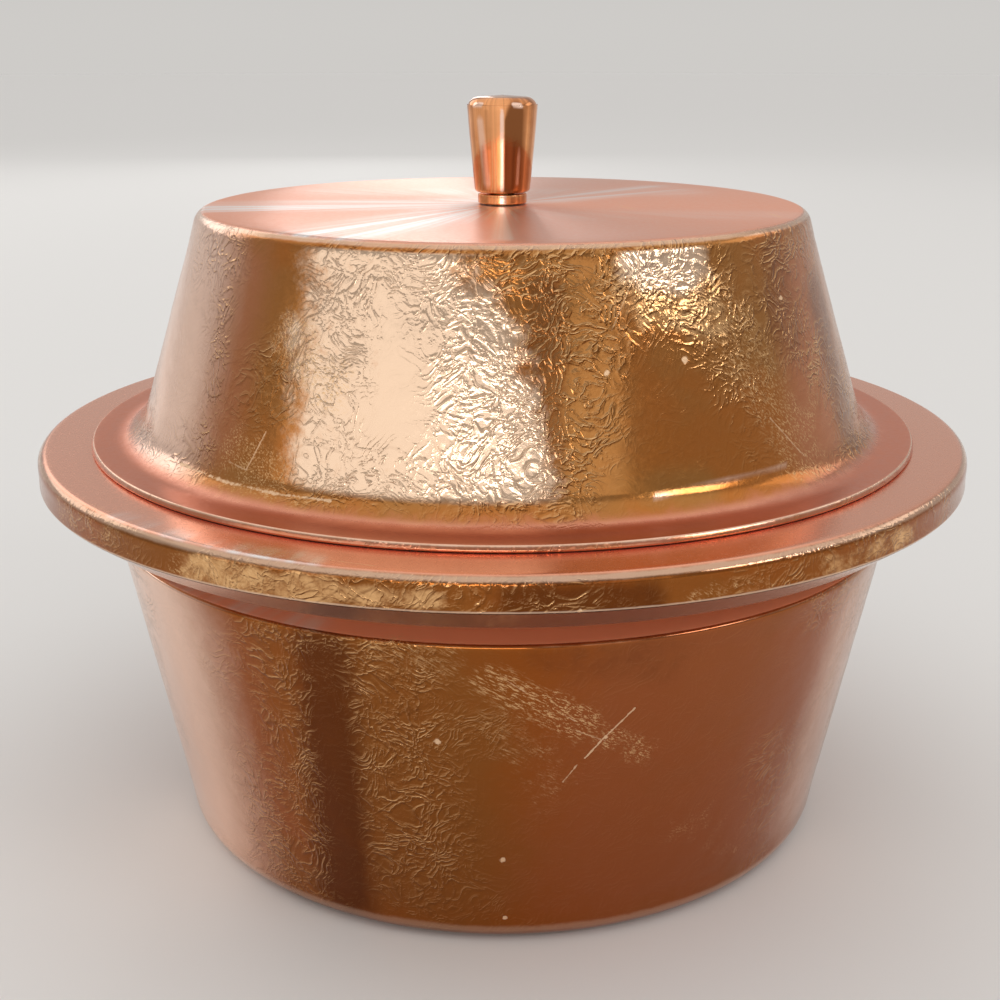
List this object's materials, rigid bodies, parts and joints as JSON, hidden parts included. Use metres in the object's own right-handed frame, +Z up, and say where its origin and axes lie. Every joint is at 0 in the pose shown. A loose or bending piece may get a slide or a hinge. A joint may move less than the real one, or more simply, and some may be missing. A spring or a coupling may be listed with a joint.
{
  "type": "covered dish",
  "caption": "Deep round copper dish with a wide hollow flange, tin lined, under a flat-topped copper lid with a turned knob and a ring that keeps it centred.",
  "frame": {"origin": "middle of the flat base, on the surface that the dish stands on", "axes": "+Z up the dish's own axis, through the knob; X and Y level"},
  "size_m": [0.26, 0.26, 0.2042],
  "materials": {
    "copper": "spun and hammered copper, polished and worn, finely wrinkled",
    "polished_copper": "turned copper, mirror polished",
    "tin": "wiped tin, satin",
    "steel": "drawn wire",
    "brass": "turned, satin"
  },
  "bodies": {
    "bowl": {"bowl_shell": "copper", "bowl_lining": "tin", "flange_plate": "copper", "flange_underplate": "copper", "rim_wire": "steel"},
    "lid": {"lid_shell": "copper", "lid_lining": "tin", "locating_ring": "copper", "knob": "polished_copper", "knob_collar": "polished_copper", "knob_washer": "brass", "knob_screw": "brass"}
  },
  "joints": [
    {"name": "lid_lift", "type": "slide", "parent": "bowl", "child": "lid", "axis": [0, 0, 1], "range_m": [0, 0.15]}
  ]
}
